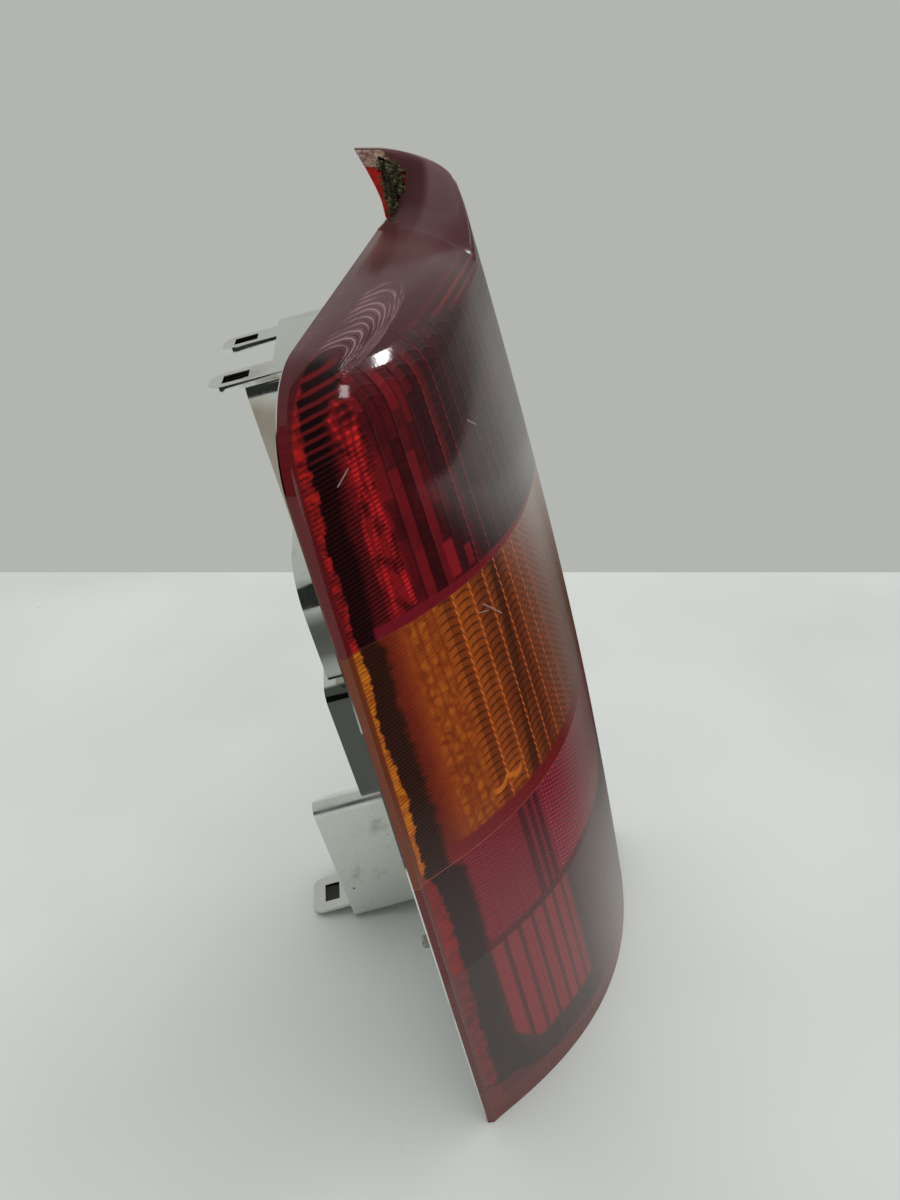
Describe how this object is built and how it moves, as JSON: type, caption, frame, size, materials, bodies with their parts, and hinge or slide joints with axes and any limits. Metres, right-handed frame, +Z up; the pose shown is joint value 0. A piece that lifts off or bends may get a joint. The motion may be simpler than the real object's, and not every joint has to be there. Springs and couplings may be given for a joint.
{
  "type": "tail light cluster",
  "caption": "Tall corner tail light cluster with red, amber and rose lens, bright housing with chambers, snap tongues and fixing studs.",
  "frame": {"origin": "middle of the base, on the surface that the cluster stands on", "axes": "+Z up, +X from the outer side of the car to its middle, +Y to the front of the car; the lens faces -Y and wraps round to -X"},
  "size_m": [0.162, 0.1786, 0.353],
  "materials": {
    "red_lens": "gloss, weathered",
    "amber_lens": "gloss, weathered",
    "rose_lens": "gloss, weathered",
    "dark_red_lens": "gloss, weathered",
    "metallised_plastic": "bright metallised plastic",
    "sealant": "dull",
    "steel": "plated"
  },
  "bodies": {
    "root": {"lens_red_upper": "red_lens", "lens_amber": "amber_lens", "lens_rose": "rose_lens", "lens_red_lower": "dark_red_lens", "housing": "metallised_plastic", "sealant_bead": "sealant", "stud_upper": "steel", "stud_middle": "steel", "stud_lower": "steel"}
  },
  "joints": []
}
